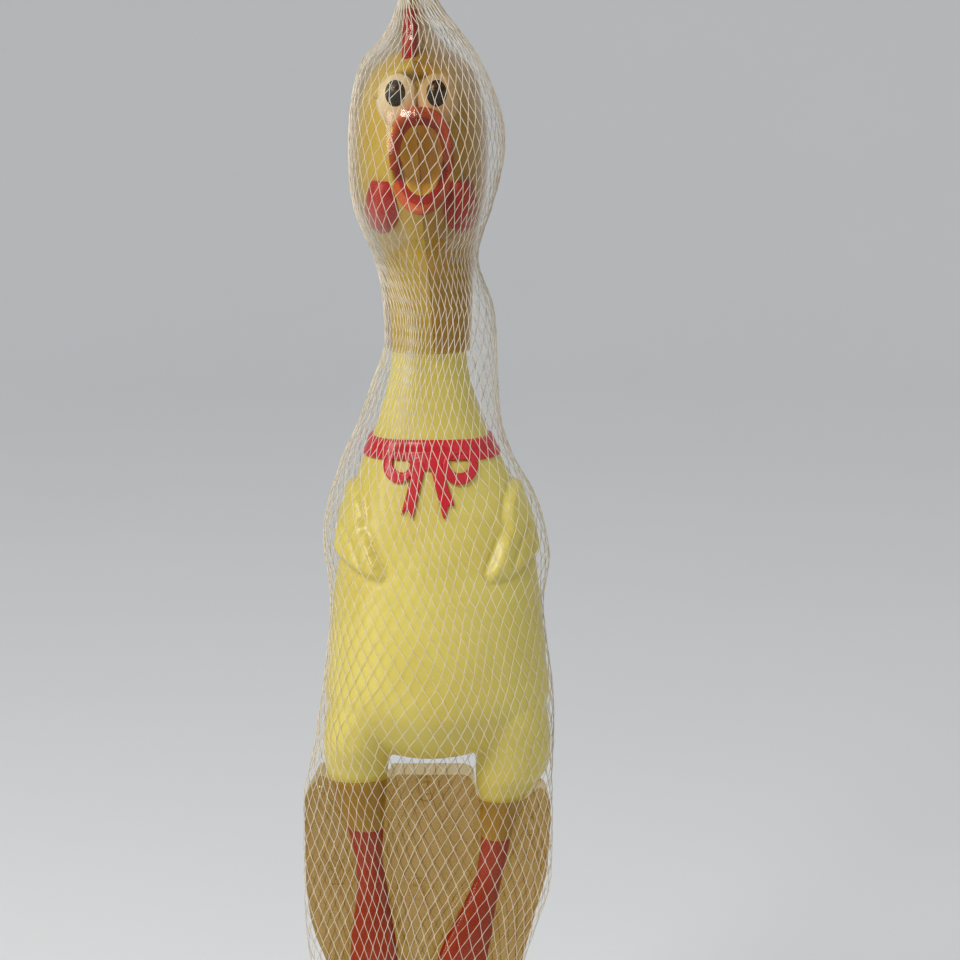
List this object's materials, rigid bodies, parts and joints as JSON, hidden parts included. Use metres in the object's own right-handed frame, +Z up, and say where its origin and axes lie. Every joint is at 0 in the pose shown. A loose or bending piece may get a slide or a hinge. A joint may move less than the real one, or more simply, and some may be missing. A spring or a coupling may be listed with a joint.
{
  "type": "rubber chicken",
  "caption": "Soft hollow squawking rubber chicken hung by its net bag, with amber blister shells on head and feet and a blank hang tag.",
  "frame": {"origin": "inside the top of the net's hanging loop, where a peg or hook bears", "axes": "+Z up along the hanging figure; the face looks along -Y; +X is to the right as seen from the front, and left and right in node names are as seen from the front"},
  "size_m": [0.1002, 0.0983, 0.534],
  "materials": {
    "yellow_vinyl": "satin",
    "crimson_vinyl": "satin",
    "orange_red_vinyl": "satin",
    "cream_paint": "gloss",
    "black_paint": "gloss",
    "ribbon_red": "gloss",
    "white_plastic": "satin",
    "reed_film": "gloss",
    "amber_film": "gloss",
    "net_thread": "satin",
    "bunched_net": "satin",
    "clip_metal": "satin",
    "tie_plastic": "gloss",
    "tag_card": "gloss"
  },
  "bodies": {
    "head": {"head_skin": "yellow_vinyl", "comb": "crimson_vinyl", "upper_beak": "orange_red_vinyl", "lower_beak": "orange_red_vinyl", "left_wattle": "crimson_vinyl", "right_wattle": "crimson_vinyl", "left_eye_white": "cream_paint", "right_eye_white": "cream_paint", "left_pupil": "black_paint", "right_pupil": "black_paint", "squawker_barrel": "white_plastic", "reed_seat": "white_plastic", "reed_wedge": "white_plastic", "head_shell_left": "amber_film", "head_shell_right": "amber_film", "net_head": "net_thread", "net_clip_top": "clip_metal", "net_hang_loop": "bunched_net", "tag_tie": "tie_plastic"},
    "neck": {"neck_skin": "yellow_vinyl", "net_neck": "net_thread"},
    "torso": {"torso_skin": "yellow_vinyl", "left_wing": "yellow_vinyl", "right_wing": "yellow_vinyl", "neck_ribbon": "ribbon_red", "net_torso": "net_thread"},
    "belly": {"belly_skin": "yellow_vinyl"},
    "legs": {"left_thigh_skin": "yellow_vinyl", "right_thigh_skin": "yellow_vinyl", "left_drumstick": "yellow_vinyl", "right_drumstick": "yellow_vinyl", "left_leg": "orange_red_vinyl", "right_leg": "orange_red_vinyl", "foot_shell_front": "amber_film", "foot_shell_rear": "amber_film", "net_thighs": "net_thread", "net_feet": "net_thread", "net_clip_bottom": "clip_metal", "net_tail_bottom": "bunched_net"},
    "reed": {"reed_tongue": "reed_film"},
    "tag": {"hang_tag": "tag_card"}
  },
  "joints": [
    {"name": "neck_nod", "type": "hinge", "parent": "head", "child": "neck", "pos_m": [-0.0007, 0, -0.236], "axis": [1, 0, 0], "range_deg": [-30, 30], "stiffness_Nm_per_rad": 0.15, "deforming": ["neck_skin", "net_neck"]},
    {"name": "neck_sway", "type": "hinge", "parent": "neck", "child": "torso", "pos_m": [-0.0007, 0, -0.248], "axis": [0, 1, 0], "range_deg": [-25, 25], "stiffness_Nm_per_rad": 0.15, "deforming": ["neck_skin", "net_neck"]},
    {"name": "belly_squeeze", "type": "slide", "parent": "torso", "child": "belly", "axis": [0, 1, 0], "range_m": [0, 0.014], "stiffness_N_per_m": 400},
    {"name": "legs_swing", "type": "hinge", "parent": "torso", "child": "legs", "pos_m": [0, 0, -0.388], "axis": [1, 0, 0], "range_deg": [-20, 25], "stiffness_Nm_per_rad": 0.1, "deforming": ["left_thigh_skin", "right_thigh_skin", "net_thighs"]},
    {"name": "reed_flex", "type": "hinge", "parent": "head", "child": "reed", "pos_m": [-0.001, -0.00068, -0.204], "axis": [1, 0, 0], "range_deg": [-1.5, 4], "stiffness_Nm_per_rad": 0.002},
    {"name": "tag_swing", "type": "hinge", "parent": "head", "child": "tag", "pos_m": [-0.00187, -0.009, -0.034], "axis": [0, 1, 0], "range_deg": [-25, 6]}
  ]
}
